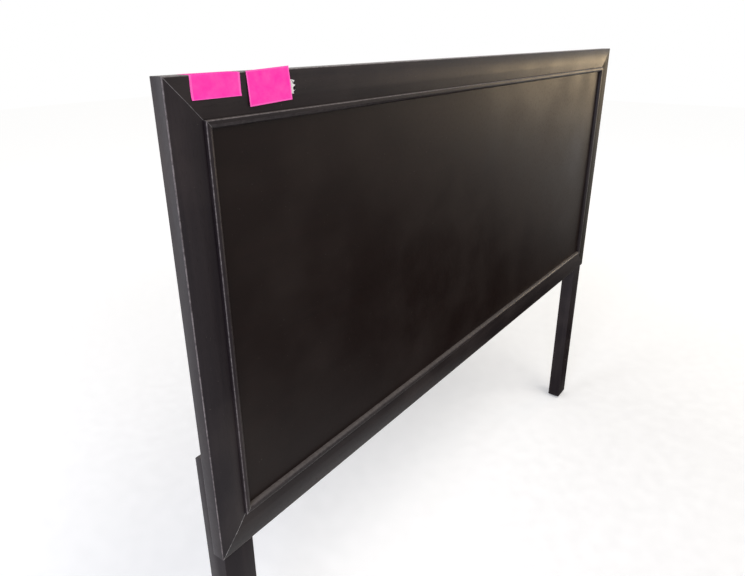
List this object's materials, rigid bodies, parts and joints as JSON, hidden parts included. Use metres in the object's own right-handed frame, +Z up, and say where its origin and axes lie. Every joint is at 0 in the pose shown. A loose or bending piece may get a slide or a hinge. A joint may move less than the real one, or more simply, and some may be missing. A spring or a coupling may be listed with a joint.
{
  "type": "bed headboard",
  "caption": "Framed bed headboard: mitred dark wood frame with a sloped inner face and proud bead, flat veneered panel, and half-lapped legs slotted for a bed frame.",
  "frame": {"origin": "on the floor, under the middle of the board's width and depth", "axes": "+X along the board to the right as seen from the bed side, +Y from the bed side to the wall, +Z up"},
  "size_m": [1.6, 0.0452, 1.204],
  "materials": {
    "espresso_wood": "satin espresso lacquer over stained solid wood",
    "panel_veneer": "satin espresso lacquer over veneer",
    "back_timber": "thin matt stain, unlacquered",
    "beech": "pressed, bare",
    "plain_steel": "bright",
    "zinc_steel": "zinc plated",
    "black_nylon": "moulded",
    "note_paper": "matt fluorescent paper"
  },
  "bodies": {
    "root": {"top_rail": "espresso_wood", "bottom_rail": "espresso_wood", "left_stile": "espresso_wood", "right_stile": "espresso_wood", "top_bead": "espresso_wood", "bottom_bead": "espresso_wood", "left_bead": "espresso_wood", "right_bead": "espresso_wood", "left_leg": "espresso_wood", "right_leg": "espresso_wood", "center_panel": "panel_veneer", "top_back_strip": "back_timber", "bottom_back_strip": "back_timber", "left_back_strip": "back_timber", "right_back_strip": "back_timber", "center_batten": "back_timber", "mitre_biscuits": "beech", "strip_brads": "plain_steel", "batten_screws": "plain_steel", "glide_nails": "plain_steel", "left_leg_washers": "plain_steel", "right_leg_washers": "plain_steel", "left_leg_bolts": "zinc_steel", "right_leg_bolts": "zinc_steel", "left_leg_inserts": "zinc_steel", "right_leg_inserts": "zinc_steel", "left_foot_glide": "black_nylon", "right_foot_glide": "black_nylon", "folded_price_note": "note_paper", "loose_price_note": "note_paper"}
  },
  "joints": []
}
